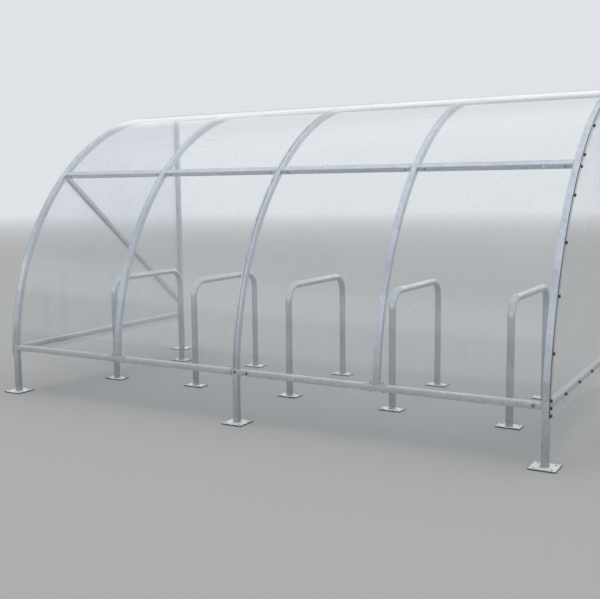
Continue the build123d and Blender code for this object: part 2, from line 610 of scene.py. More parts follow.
@dataclass(frozen=True)
class Holes:
    """Four bolt holes, one in each quarter of a plate. Places count from the plate's middle."""

    radius: float
    pitch: Span
    # Profile of the near-black fill in each hole, painted shade: share of the hole's radius and height.
    dirt_and_shade: tuple[Span, ...] = ((0.98, 0.0002), (0.9, 0.0012), (0.0, 0.0008))
    shade_fill_sides: int = 16

    def at(self, angle: float, distance: float) -> Span:
        """The place at an angle and distance from the hole in the quarter of positive X and Y."""
        x, y = self.pitch
        return (x / 2 + math.cos(angle) * distance, y / 2 + math.sin(angle) * distance)

    def angles(self, reach: Span) -> list[float]:
        """Directions out of the hole, with the corners of its quarter among them.

        Args:
            reach: half the plate's length and width.

        Returns:
            The angles in rising order.
        """
        x, y = self.at(0.0, 0.0)
        corners = [(u, v) for u in (0.0, reach[0]) for v in (0.0, reach[1])]
        to_corners = [math.atan2(v - y, u - x) % math.tau for u, v in corners]
        return sorted([math.tau * step / ROUND_SIDES for step in range(ROUND_SIDES)] + to_corners)

    def to_border(self, angle: float, reach: Span) -> float:
        """Distance from the hole's middle to the border of its quarter.

        Args:
            angle: the direction.
            reach: half the plate's length and width.

        Returns:
            The distance.
        """
        lengths = []
        for way, pitch, far in zip((math.cos(angle), math.sin(angle)), self.pitch, reach):
            if way > CLOSE:
                lengths.append((far - pitch / 2) / way)
            elif way < -CLOSE:
                lengths.append(-pitch / 2 / way)
        return min(lengths)


def on_one_side(first: Sequence[float], second: Sequence[float], reach: Span) -> bool:
    """Whether two places, counted from a plate's middle, lie on one of its sides."""
    return any(all(abs(abs(place[k]) - reach[k]) < CLOSE for place in (first, second)) for k in (0, 1))


class Workpiece:
    """A mesh in the making, in the frame's metres."""

    def __init__(self) -> None:
        """Starts with an empty mesh."""
        self.mesh = bmesh.new()

    def ring(self, places: Sequence[Vector]) -> Ring:
        """Adds the corners of one cross-section."""
        return [self.mesh.verts.new(place) for place in places]

    def skin(self, first: Ring, second: Ring) -> None:
        """Joins two rings of as many corners with a band of faces.

        Args:
            first: one ring.
            second: the other ring.
        """
        for i, corner in enumerate(first):
            j = (i + 1) % len(first)
            self.mesh.faces.new((corner, first[j], second[j], second[i]))

    def skin_all(self, rings: Sequence[Ring]) -> None:
        """Joins each ring to the next."""
        for first, second in zip(rings, rings[1:]):
            self.skin(first, second)

    def close(self, first: Ring, last: Ring) -> None:
        """Closes the two ends of a solid run."""
        self.mesh.faces.new(first)
        self.mesh.faces.new(last)

    def ease(self, edges: Sequence[bmesh.types.BMEdge], width: float) -> None:
        """Rounds edges over a little."""
        bmesh.ops.bevel(self.mesh, geom=edges, offset=width, segments=2, affect="EDGES", profile=0.5)

    def run(
        self,
        stations: Sequence[Station],
        outer: Outline,
        inner: Outline | None = None,
        start_cut: Cut | None = None,
        end_cut: Cut | None = None,
    ) -> None:
        """Sweeps a section through stations.

        Args:
            stations: places along the run.
            outer: outside outline.
            inner: inside outline of a hollow section, with as many points.
            start_cut: plane that the first end is cut to.
            end_cut: plane that the last end is cut to.
        """
        cuts = {0: start_cut, len(stations) - 1: end_cut}
        ends = []
        for outline in (outer, inner):
            if outline is None:
                continue
            rings = []
            for number, station in enumerate(stations):
                places = station.put(outline)
                cut = cuts.get(number)
                if cut is not None:
                    places = [cut.slide(place, station.along) for place in places]
                rings.append(self.ring(places))
            self.skin_all(rings)
            ends.append((rings[0], rings[-1]))
        if inner is None:
            self.close(*ends[0])
        else:
            for outside, inside in zip(*ends):
                self.skin(outside, inside)

    def turned(self, profile: Outline, at: Vector, facing: Vector, sides: int) -> None:
        """Turns a profile about an axis.

        Args:
            profile: pairs of radius and height, from the seat up to the middle.
            at: where the axis meets the seat.
            facing: direction of the axis.
            sides: flats around.
        """
        along, across = facing.normalized(), facing.orthogonal().normalized()
        rings = []
        for radius, height in profile:
            lifted = Station(at + along * height, along, across)
            rings.append(self.ring(lifted.put(circle(max(radius, NEARLY_POINT), sides))))
        self.skin_all(rings)
        self.close(rings[0], rings[-1])

    def slab(self, box: Box, ease: float) -> None:
        """Adds a block.

        Args:
            box: its room.
            ease: width of its eased edges.
        """
        size = Matrix.Diagonal((*(box.high - box.low), 1.0))
        made = bmesh.ops.create_cube(self.mesh, size=1.0, matrix=Matrix.Translation(box.middle) @ size)
        self.ease(list(dict.fromkeys(edge for vert in made["verts"] for edge in vert.link_edges)), ease)

    def drilled_plate(self, box: Box, holes: Holes, ease: float) -> None:
        """Adds a plate with one bolt hole in each quarter.

        Args:
            box: the plate's room.
            holes: its bolt holes.
            ease: width of the eased upper edge.
        """
        middle, reach = box.middle, box.reach
        angles = holes.angles(reach)
        rim = [holes.at(angle, holes.radius) for angle in angles]
        border = [holes.at(angle, holes.to_border(angle, reach)) for angle in angles]
        for sign_x, sign_y in QUARTERS:
            rings = []
            for outline in (rim, border):
                for z in (box.low.z, box.high.z):
                    places = [Vector((middle.x + sign_x * x, middle.y + sign_y * y, z)) for x, y in outline]
                    rings.append(self.ring(places))
            rim_low, rim_high, border_low, border_high = rings
            self.skin(rim_low, rim_high)
            self.skin(rim_low, border_low)
            self.skin(rim_high, border_high)
            for i, place in enumerate(border):
                j = (i + 1) % len(border)
                if on_one_side(place, border[j], reach):
                    self.mesh.faces.new((border_low[i], border_low[j], border_high[j], border_high[i]))
        bmesh.ops.remove_doubles(self.mesh, verts=self.mesh.verts, dist=SAME_PLACE)
        upper = []
        for edge in self.mesh.edges:
            first, second = ([vert.co[k] - middle[k] for k in (0, 1)] for vert in edge.verts)
            on_top = all(abs(vert.co.z - box.high.z) < CLOSE for vert in edge.verts)
            if on_top and on_one_side(first, second, reach):
                upper.append(edge)
        self.ease(upper, ease)

    def hole_shade_fill(self, box: Box, holes: Holes) -> None:
        """Adds a near-black fill in a plate's bolt holes: painted shade in their depth.

        Args:
            box: the plate's room.
            holes: its bolt holes.
        """
        profile = [(holes.radius * share, height) for share, height in holes.dirt_and_shade]
        for sign_x, sign_y in QUARTERS:
            x, y = box.middle.x + sign_x * holes.pitch[0] / 2, box.middle.y + sign_y * holes.pitch[1] / 2
            self.turned(profile, Vector((x, y, box.low.z)), Z_AXIS, holes.shade_fill_sides)

    def done(self, name: str, material: Material, slot: Slot, node: str | None = None) -> None:
        """Turns the mesh into a piece that rides on the frame.

        Args:
            name: the piece's name.
            material: its finish.
            slot: the record's slot that the finish belongs to; not used.
            node: the CAD node that it stands for.
        """
        bmesh.ops.recalc_face_normals(self.mesh, faces=self.mesh.faces)
        for face in self.mesh.faces:
            face.smooth = True
        data = bpy.data.meshes.new(name)
        self.mesh.to_mesh(data)
        self.mesh.free()
        data.set_sharp_from_angle(angle=SMOOTH_LIMIT)
        data.materials.append(material)
        piece = bpy.data.objects.new(name, data)
        bpy.context.scene.collection.objects.link(piece)
        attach(piece, BODY)
        if node is not None:
            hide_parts(node)
        LOG.info("%s: %d faces", name, len(data.polygons))


@dataclass(frozen=True)
class Bead:
    """A weld bead of uneven width."""

    radius: float
    ripple: float = 0.22
    wave: float = 1.9
    sides: int = 8
    stand_off: float = 0.3

    @property
    def offset(self) -> float:
        """How far its middle lies off the steel."""
        return self.radius * self.stand_off

    def lay(self, work: Workpiece, route: Sequence[Vector], dice: random.Random) -> None:
        """Lays the bead along a closed line.

        Args:
            work: the mesh that gets it.
            route: the places that it follows.
            dice: seeded source of the unevenness.
        """
        rings = []
        for i, place in enumerate(route):
            along = (route[(i + 1) % len(route)] - route[i - 1]).normalized()
            across = along.cross(Z_AXIS).normalized()
            unevenness = 0.5 * math.sin(i * self.wave) + dice.uniform(-0.5, 0.5)
            swell = self.radius * (1 + self.ripple * unevenness)
            rings.append(work.ring(Station(place, along, across).put(circle(swell, self.sides))))
        for i, band in enumerate(rings):
            work.skin(rings[i - 1], band)


@dataclass(frozen=True)
class Fixing:
    """A bolt, screw or cap that sits on a face."""

    head: Head
    radius: float
    height: float
    washer: float = 0.0
    washer_thickness: float = 0.0016
    washer_edge: float = 0.3
    hex_top: float = 0.86

    def place(self, work: Workpiece, at: Vector, facing: Vector) -> None:
        """Adds the fixing.

        Args:
            work: the mesh that gets it.
            at: where its middle meets the face.
            facing: direction out of the face.
        """
        if self.washer:
            thickness = self.washer_thickness
            edge = thickness * self.washer_edge
            rim = [(self.washer, 0.0), (self.washer, thickness - edge), (self.washer - edge, thickness)]
            work.turned([*rim, (0.0, thickness)], at, facing, ROUND_SIDES)
            at = at + facing * thickness
        skirt = self.height * self.head.value
        profile = [(self.radius, 0.0), (self.radius, skirt)]
        if self.head is Head.HEX:
            profile += [(self.radius * self.hex_top, self.height), (0.0, self.height)]
            work.turned(profile, at, facing, HEX_SIDES)
            return
        for step in range(1, DOME_STEPS + 1):
            angle = quarter_turn(step, DOME_STEPS)
            profile.append((self.radius * math.cos(angle), skirt + (self.height - skirt) * math.sin(angle)))
        work.turned(profile, at, facing, ROUND_SIDES)


@dataclass(frozen=True)
class Stub:
    """A solid stub, welded on a face, that a rail slides over."""

    size: float = 0.0334
    corner: float = 0.003
    reach: float = 0.068
    root: float = 0.001

    def place(self, work: Workpiece, face: Vector, out: Vector, across: Vector) -> None:
        """Adds the stub at a place of a face, with the directions out of the face and across one of its flats."""
        ends = (face - out * self.root, face + out * self.reach)
        work.run([Station(end, out, across) for end in ends], rounded_square(self.size, self.corner))


@dataclass(frozen=True)
class Bend:
    """The line that hoops, purlins and curved sheets follow: a bend, then a straight run to the open side.

    Angles count from the top of the leg, up and over. The bend turns by `turn`.
    """

    section: float
    outside: float
    turn: float
    centre_y: float
    spring_z: float
    run: float

    @classmethod
    def from_frame(cls, section: float, outside: float, turn: float) -> "Bend":
        """Reads where the bend lies from the first hoop.

        Args:
            section: width of the hoops' section.
            outside: radius of their outer face.
            turn: angle of the bend.

        Returns:
            The bend.
        """
        hoop = Box.of("rib_1")
        centre_y = hoop.low.y + outside
        run = (hoop.high.y - centre_y + (outside - section) * math.cos(turn)) / math.sin(turn)
        spring_z = hoop.high.z - outside * math.sin(turn) - run * math.cos(turn)
        return cls(section, outside, turn, centre_y, spring_z, run)

    @property
    def middle(self) -> float:
        """Radius of the hoops' middle line."""
        return self.outside - self.section / 2

    @property
    def inside(self) -> float:
        """Radius of the hoops' inner face."""
        return self.outside - self.section

    def point(self, x: float, angle: float, radius: float) -> Vector:
        """A point of the bend, or of the run where the angle is larger than the turn.

        Args:
            x: its place along the shelter.
            angle: its angle.
            radius: its radius.

        Returns:
            The point.
        """
        held = min(angle, self.turn)
        bent = Vector((x, self.centre_y - radius * math.cos(held), self.spring_z + radius * math.sin(held)))
        return bent + self.along(self.turn) * (angle - held) * self.middle

    def on_run(self, x: float, back: float, radius: float) -> Vector:
        """A point of the straight run, a distance back from its front end."""
        return self.point(x, self.turn, radius) + self.along(self.turn) * (self.run - back)

    def stations(self, x: float, start: float, radius: float, back: float, steps: int) -> list[Station]:
        """Stations over the bend and its run.

        Args:
            x: their place along the shelter.
            start: angle of the first.
            radius: radius of the line that they follow.
            back: how far back from the front the last one lies.
            steps: straight pieces in the bend.

        Returns:
            The stations, from the leg up and over.
        """
        angles = [start + (self.turn - start) * step / steps for step in range(steps + 1)]
        bent = [Station(self.point(x, angle, radius), self.along(angle), X_AXIS) for angle in angles]
        return [*bent, Station(self.on_run(x, back, radius), self.along(self.turn), X_AXIS)]

    def along(self, angle: float) -> Vector:
        """Direction of the bend, away from the leg."""
        return Vector((0, math.sin(angle), math.cos(angle)))

    def outward(self, angle: float) -> Vector:
        """Direction out of the shelter, square to the bend."""
        return Vector((0, -math.cos(angle), math.sin(angle)))

    def angle_of(self, node: str) -> float:
        """Angle at which a node's middle lies."""
        middle = Box.of(node).middle
        return math.atan2(middle.z - self.spring_z, self.centre_y - middle.y)

    def back_of(self, node: str) -> float:
        """How far back from the front a hoop ends."""
        return (Box.of("rib_1").high.y - Box.of(node).high.y) / math.sin(self.turn)


@dataclass(frozen=True)
class BoxSection:
    """Square hollow section with rounded corners."""

    size: float = 0.040
    wall: float = 0.003
    corner: float = 0.0045
    air: float = 0.00015

    @property
    def outer(self) -> Outline:
        """Outside outline, with a little air on each side so that no sheet shares its plane."""
        return rounded_square(self.size - 2 * self.air, self.corner)

    @property
    def inner(self) -> Outline:
        """Inside outline."""
        return rounded_square(self.size - 2 * self.wall, self.corner - self.wall)


@dataclass(frozen=True)
class Finishes:
    """Every material, made once."""

    section: Material
    plate: Material
    tube: Material
    weld: Material
    bolt: Material
    cap: Material
    soil: Material
    curved: Material
    flat: Material

    @classmethod
    def make(cls) -> "Finishes":
        """Builds the finishes of this shelter.

        Returns:
            The finishes.
        """
        return cls(
            section=Galvanised(
                "galvanised_section",
                (0.49, 0.52, 0.565),
                (0.68, 0.715, 0.76),
                # Painted shade on upright faces of legs and posts, darker towards the ground.
                dirt_and_shade_height=0.42,
                painted_side_shade=0.48,
            ).material(),
            plate=Galvanised(
                "galvanised_plate",
                (0.60, 0.63, 0.65),
                (0.84, 0.86, 0.86),
                metallic=0.4,
                smoothest=0.42,
                roughest=0.62,
                dust_and_top_light_share=0.2,
                # Near-black colour on the side faces: painted shadow along the plate's edges on the ground.
                dirt_and_shade=(0.05, 0.046, 0.04),
                dirt_and_shade_height=0.04,
                dirt_share=0.06,
                painted_side_shade=0.9,
            ).material(),
            tube=Galvanised(
                "galvanised_tube",
                (0.44, 0.47, 0.50),
                (0.60, 0.63, 0.66),
                smoothest=0.16,
                roughest=0.28,
                crystal_share=0.06,
                grain_share=0.10,
                relief=0.00004,
                dust_and_top_light_share=0.1,
            ).material(),
            weld=Weld().material(),
            bolt=FixingFinish("zinc_bolt", (0.55, 0.56, 0.57), (0.25, 0.24, 0.22), 0.85, 0.32).material(),
            # Dark caps of the end sheets; also the rings painted as contact shade under the rail bolts.
            cap=FixingFinish("dark_cap_and_shade_ring", (0.012, 0.012, 0.014), (0.05, 0.048, 0.045), 0.0, 0.42).material(),
            # Near-black fill of the plates' bolt holes: painted shade in their depth.
            soil=FixingFinish(
                "painted_shade_in_holes", (0.022, 0.020, 0.018), (0.07, 0.064, 0.056), 0.0, 0.75
            ).material(),
            curved=ClearPlastic("clear_curved_sheet", edge_from=0.37).material(),
            flat=ClearPlastic("clear_end_sheet", haze=0.025, marks=0.06).material(),
        )


@dataclass(frozen=True)
class Layout:
    """Places that several sub-assemblies share, all read from the frame."""

    bend: Bend
    section: BoxSection
    left: float
    right: float
    front: float
    bays: int = 4

    @classmethod
    def from_frame(cls, section: BoxSection, outside: float, turn: float) -> "Layout":
        """Reads the places of the posts.

        Args:
            section: section of hoops, posts and rails.
            outside: radius of the hoops' outer face.
            turn: angle of their bend.

        Returns:
            The layout.
        """
        left, right = Box.of("front_post_left"), Box.of("front_post_right")
        bend = Bend.from_frame(section.size, outside, turn)
        return cls(bend, section, left.middle.x, right.middle.x, left.high.y)

    @property
    def bay(self) -> float:
        """Distance between two hoops."""
        return (self.right - self.left) / self.bays

    @property
    def hoops(self) -> range:
        """Numbers of the hoops, counted from 1 at the left."""
        return range(1, self.bays + 2)

    @property
    def back(self) -> float:
        """Y of the hoops' outer faces at the legs."""
        return self.bend.centre_y - self.bend.outside

    @property
    def leg_y(self) -> float:
        """Y of the middle of the legs."""
        return self.back + self.section.size / 2

    @property
    def rail_z(self) -> float:
        """Height of the middle of the low rails."""
        return Box.of("low_rail_left").middle.z

    @property
    def purlin_angle(self) -> float:
        """Angle of the purlins on the bend."""
        return self.bend.angle_of("purlin_1")

    def hoop_x(self, number: int) -> float:
        """X of a hoop."""
        return self.left + (number - 1) * self.bay


@dataclass
class Assembly:
    """What all sub-assemblies share: the layout and the finishes."""

    layout: Layout
    finishes: Finishes

    @property
    def bend(self) -> Bend:
        """The bend of the hoops."""
        return self.layout.bend

    @property
    def half(self) -> float:
        """Half the width of the box section."""
        return self.layout.section.size / 2

    def box_run(
        self, stations: Sequence[Station], start_cut: Cut | None = None, end_cut: Cut | None = None
    ) -> Workpiece:
        """Starts a piece with a run of box section.

        Args:
            stations: places along the run.
            start_cut: plane that the first end is cut to.
            end_cut: plane that the last end is cut to.

        Returns:
            The piece's mesh.
        """
        work = Workpiece()
        work.run(stations, self.layout.section.outer, self.layout.section.inner, start_cut, end_cut)
        return work


@dataclass
class Hoops(Assembly):
    """The five bent hoops with the stubs that their rails slide over."""

    stub: Stub = Stub()
    arc_steps: int = 54

    def build(self) -> None:
        """Builds every hoop."""
        for number in self.layout.hoops:
            self.hoop(number)

    def hoop(self, number: int) -> None:
        """Builds one hoop.

        Args:
            number: the hoop's number.
        """
        layout, bend = self.layout, self.bend
        node = f"rib_{number}"
        x = layout.hoop_x(number)
        bottom = Box.of(node).low.z
        on_ground = bottom < bend.spring_z
        start = 0.0 if on_ground else math.asin((bottom - bend.spring_z) / bend.middle)
        leg = [Station(Vector((x, layout.leg_y, bottom)), Z_AXIS, X_AXIS)] if on_ground else []
        stations = leg + bend.stations(x, start, bend.middle, bend.back_of(node), self.arc_steps)
        work = self.box_run(stations, start_cut=Cut(Vector((0, 0, bottom)), Z_AXIS))
        at_end = number in (layout.hoops[0], layout.hoops[-1])
        for side in (-1, 1):
            if number + side in layout.hoops:
                self.side_stubs(work, x, side, on_ground, at_end)
        if at_end:
            face = Vector((x, layout.back + layout.section.size, layout.rail_z))
            self.stub.place(work, face, Y_AXIS, Z_AXIS)
        work.done(f"hoop_{number}", self.finishes.section, Slot.SECTION, node)

    def side_stubs(self, work: Workpiece, x: float, side: int, on_ground: bool, at_end: bool) -> None:
        """Adds the stubs on one side of a hoop.

        Args:
            work: the hoop's mesh.
            x: the hoop's place.
            side: -1 on the left, 1 on the right.
            on_ground: whether the hoop runs down past the low rails.
            at_end: whether it carries the front rail.
        """
        bend, purlin = self.bend, self.layout.purlin_angle
        face = x + side * self.half
        out = X_AXIS * side
        self.stub.place(work, bend.point(face, purlin, bend.middle), out, bend.along(purlin))
        if at_end:
            self.stub.place(work, bend.on_run(face, self.half, bend.middle), out, bend.along(bend.turn))
        if on_ground:
            self.stub.place(work, Vector((face, self.layout.leg_y, self.layout.rail_z)), out, Z_AXIS)


@dataclass
class Posts(Assembly):
    """Front posts and the brace of the left end."""

    stub: Stub = Stub()
    brace_foot: float = 0.465

    def build(self) -> None:
        """Builds posts and brace."""
        for end, x in (("left", self.layout.left), ("right", self.layout.right)):
            self.post(end, x)
        self.brace()

    def post(self, end: str, x: float) -> None:
        """Builds one post, cut at the top to the underside of its hoop.

        Args:
            end: left or right.
            x: the post's place.
        """
        layout, bend = self.layout, self.bend
        foot = Vector((x, layout.front - self.half, Box.of("foot_plate_rib_1").high.z))
        top = bend.on_run(x, self.half / math.sin(bend.turn), bend.inside)
        stations = [Station(foot, Z_AXIS, X_AXIS), Station(top, Z_AXIS, X_AXIS)]
        work = self.box_run(stations, end_cut=Cut(top, bend.outward(bend.turn)))
        face = Vector((x, layout.front - layout.section.size, layout.rail_z))
        self.stub.place(work, face, -Y_AXIS, Z_AXIS)
        work.done(f"post_{end}", self.finishes.section, Slot.SECTION, f"front_post_{end}")

    def brace(self) -> None:
        """Builds the brace, cut to the hoop above and to the post below."""
        layout, bend = self.layout, self.bend
        top = bend.point(layout.left, layout.purlin_angle, bend.inside)
        foot = Vector((layout.left, layout.front - layout.section.size, self.brace_foot))
        along = (foot - top).normalized()
        stations = [Station(top, along, X_AXIS), Station(foot, along, X_AXIS)]
        work = self.box_run(stations, Cut(top, bend.outward(layout.purlin_angle)), Cut(foot, Y_AXIS))
        work.done("brace_left", self.finishes.section, Slot.SECTION, "end_brace_left")


@dataclass
class Rails(Assembly):
    """Low rails, end rails, purlins and the front rail, with the bolts that hold them on their stubs."""

    bolt: Fixing = Fixing(Head.DOME, 0.0050, 0.0050)
    # Dark ring under each rail bolt: painted contact shade.
    shade_ring: Fixing = Fixing(Head.CAP, 0.0098, 0.0016)
    bolt_inset: float = 0.039
    middle_bolt_inset: float = 0.062

    def build(self) -> None:
        """Builds every rail and its bolts."""
        for end in ("left", "right"):
            self.straight(f"low_rail_{end}", X_AXIS, Z_AXIS)
        for end in ("left", "right"):
            self.straight(f"end_rail_{end}", Y_AXIS, Z_AXIS)
        for node in self.purlins():
            self.straight(node, X_AXIS, self.bend.along(self.layout.purlin_angle))
        self.straight("front_rail", X_AXIS, self.bend.along(self.bend.turn))
        self.bolts()

    def purlins(self) -> list[str]:
        """The purlins' nodes."""
        return [f"purlin_{number}" for number in range(1, self.layout.bays + 1)]

    def straight(self, node: str, along: Vector, across: Vector) -> None:
        """Builds one straight rail from end to end of its node.

        Args:
            node: the rail's node.
            along: the rail's direction.
            across: direction of one of its flats.
        """
        box = Box.of(node)
        half = along * ((box.high - box.low).dot(along) / 2)
        ends = (box.middle - half, box.middle + half)
        work = self.box_run([Station(end, along, across) for end in ends])
        work.done(f"steel_{node}", self.finishes.section, Slot.SECTION, node)

    def bolts(self) -> None:
        """Adds the dome bolts of low rails, end rails, purlins and front rail, each on a dark ring painted as
        contact shade.
        """
        layout, bend, inset = self.layout, self.bend, self.bolt_inset
        inner, outer = layout.leg_y + self.half, layout.leg_y - self.half
        places = []
        for end in ("left", "right"):
            rail = Box.of(f"low_rail_{end}")
            places += [(Vector((x, inner, layout.rail_z)), Y_AXIS) for x in rail.insets(0, inset, inset)]
        outer_bolts = (*rail.insets(0, self.middle_bolt_inset, inset), layout.hoop_x(layout.bays // 2 + 1))
        places += [(Vector((x, outer, layout.rail_z)), -Y_AXIS) for x in outer_bolts]
        for end, inward in (("left", X_AXIS), ("right", -X_AXIS)):
            rail = Box.of(f"end_rail_{end}")
            face = rail.middle.x + inward.x * self.half
            places += [(Vector((face, y, layout.rail_z)), inward) for y in rail.insets(1, inset, inset)]
        below = -bend.along(layout.purlin_angle)
        for node in self.purlins():
            for x in Box.of(node).insets(0, inset, inset):
                places.append((bend.point(x, layout.purlin_angle, bend.middle) + below * self.half, below))
        for x in Box.of("front_rail").insets(0, inset, inset):
            places.append((bend.on_run(x, 0.0, bend.middle), bend.along(bend.turn)))
        bolts, shade_rings = Workpiece(), Workpiece()
        for at, facing in places:
            self.shade_ring.place(shade_rings, at, facing)
            self.bolt.place(bolts, at, facing)
        bolts.done("rail_bolts", self.finishes.bolt, Slot.SECTION)
        shade_rings.done("rail_bolt_shade_rings", self.finishes.cap, Slot.SECTION)


@dataclass
class OnPlates(Assembly):
    """What stands on drilled plates: the plates, the dark fill painted as shade in their holes and the welds
    round the legs.
    """

    holes: Holes
    ease: float
    bead: Bead
    seed: int

    def __post_init__(self) -> None:
        """Starts the meshes of all welds and all painted hole shade, and the seeded source of the beads'
        unevenness.
        """
        self.welds, self.dirt_and_shade, self.dice = Workpiece(), Workpiece(), random.Random(self.seed)

    def plate(self, node: str, name: str) -> Box:
        """Builds one drilled plate.

        Args:
            node: the plate's node.
            name: the piece's name.

        Returns:
            The plate's room.
        """
        box, work = Box.of(node), Workpiece()
        work.drilled_plate(box, self.holes, self.ease)
        work.done(name, self.finishes.plate, Slot.PLATE, node)
        self.dirt_and_shade.hole_shade_fill(box, self.holes)
        return box

    def weld(self, route: Sequence[Vector]) -> None:
        """Lays a bead along a closed line."""
        self.bead.lay(self.welds, route, self.dice)

    def done(self, name: str, slot: Slot) -> None:
        """Makes the pieces of the welds and of the painted hole shade."""
        self.welds.done(f"{name}_welds", self.finishes.weld, slot)
        self.dirt_and_shade.done(f"{name}_hole_shade_fill", self.finishes.soil, Slot.PLATE)


@dataclass
class Feet(OnPlates):
    """Foot plates with their welds, and the flanges that stand hoops on the low rail."""

    plates: tuple[str, ...] = ("rib_1", "rib_3", "rib_5", "front_left", "front_right")
    holes: Holes = Holes(0.007, (0.100, 0.100))
    ease: float = 0.0012
    bead: Bead = Bead(0.0032)
    bead_corner: float = 0.006
    corner_steps: int = 5
    side_steps: int = 10
    seed: int = 7
    flanges: tuple[int, ...] = (2, 4)
    flange_ease: float = 0.0008
    flange_bolt_spacing: float = 0.080
    flange_bolt: Fixing = Fixing(Head.HEX, 0.0074, 0.0053, washer=0.0095)
    flange_nut: Fixing = Fixing(Head.HEX, 0.0074, 0.0065, washer=0.0095)
    flange_bolt_tip: Fixing = Fixing(Head.DOME, 0.004, 0.013)
    seat_weld_shift: float = 0.0022

    def build(self) -> None:
        """Builds plates, welds and flanges."""
        for name in self.plates:
            self.weld_round(self.plate(f"foot_plate_{name}", f"base_{name}").top)
        for number in self.flanges:
            self.flange(number)
        self.done("foot", Slot.SECTION)

    def weld_round(self, seat: Vector) -> None:
        """Lays a bead round a box section.

        Args:
            seat: where the section's middle meets the plate.
        """
        size = self.layout.section.size + 2 * self.bead.offset
        outline = rounded_square(size, self.bead_corner, self.corner_steps)
        route = []
        for i, (u, v) in enumerate(outline):
            next_u, next_v = outline[(i + 1) % len(outline)]
            on_side = i % (self.corner_steps + 1) == self.corner_steps
            pieces = self.side_steps if on_side else 1
            for step in range(pieces):
                share = step / pieces
                route.append(seat + Vector((u + (next_u - u) * share, v + (next_v - v) * share, 0)))
        self.weld(route)

    def flange(self, number: int) -> None:
        """Builds the flange of one hoop with its bolts and nuts.

        Args:
            number: the hoop's number.
        """
        node = f"rib_flange_{number}"
        box = Box.of(node)
        work, bolts = Workpiece(), Workpiece()
        work.slab(box, self.flange_ease)
        work.done(f"seat_hoop_{number}", self.finishes.section, Slot.PLATE, node)
        rail_low = Box.of("low_rail_left").low.z
        for side in (-1, 1):
            x = box.middle.x + side * self.flange_bolt_spacing / 2
            under = Vector((x, box.middle.y, rail_low))
            self.flange_bolt.place(bolts, Vector((x, box.middle.y, box.high.z)), Z_AXIS)
            self.flange_nut.place(bolts, under, -Z_AXIS)
            self.flange_bolt_tip.place(bolts, under, -Z_AXIS)
        bolts.done(f"flange_bolts_{number}", self.finishes.bolt, Slot.SECTION)
        self.weld_round(Vector((box.middle.x, self.layout.leg_y + self.seat_weld_shift, box.high.z)))


@dataclass
class Stands(OnPlates):
    """Bent tube stands on two plates each."""

    tube: float = 0.0483
    tube_sides: int = 40
    bend_radius: float = 0.120
    bend_steps: int = 16
    holes: Holes = Holes(0.007, (0.115, 0.060))
    ease: float = 0.001
    bead: Bead = Bead(0.0034)
    bead_steps: int = 64
    seed: int = 11

    def build(self) -> None:
        """Builds every stand."""
        outline = circle(self.tube / 2 + self.bead.offset, self.bead_steps)
        number = 1
        while f"stand_{number}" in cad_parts:
            self.stand(number)
            for leg in ("near", "far"):
                seat = self.plate(f"stand_{number}_plate_{leg}", f"stand_base_{number}_{leg}").top
                self.weld([seat + Vector((u, v, 0)) for u, v in outline])
            number += 1
        self.done("stand", Slot.TUBE)

    def stand(self, number: int) -> None:
        """Builds the bent tube of one stand.

        Args:
            number: the stand's number, from the left.
        """
        node = f"stand_{number}"
        box = Box.of(node)
        half, bend, x = self.tube / 2, self.bend_radius, box.middle.x
        near, far = box.insets(1, half, half)
        bend_z = box.high.z - half - bend
        stations = [Station(Vector((x, near, box.low.z)), Z_AXIS, X_AXIS)]
        for centre_y, start in ((near + bend, 0.0), (far - bend, math.pi / 2)):
            for step in range(self.bend_steps + 1):
                angle = start + quarter_turn(step, self.bend_steps)
                at = Vector((x, centre_y - bend * math.cos(angle), bend_z + bend * math.sin(angle)))
                stations.append(Station(at, Vector((0, math.sin(angle), math.cos(angle))), X_AXIS))
        stations.append(Station(Vector((x, far, box.low.z)), -Z_AXIS, X_AXIS))
        work = Workpiece()
        work.run(stations, circle(half, self.tube_sides))
        work.done(f"stand_tube_{number}", self.finishes.tube, Slot.TUBE, node)


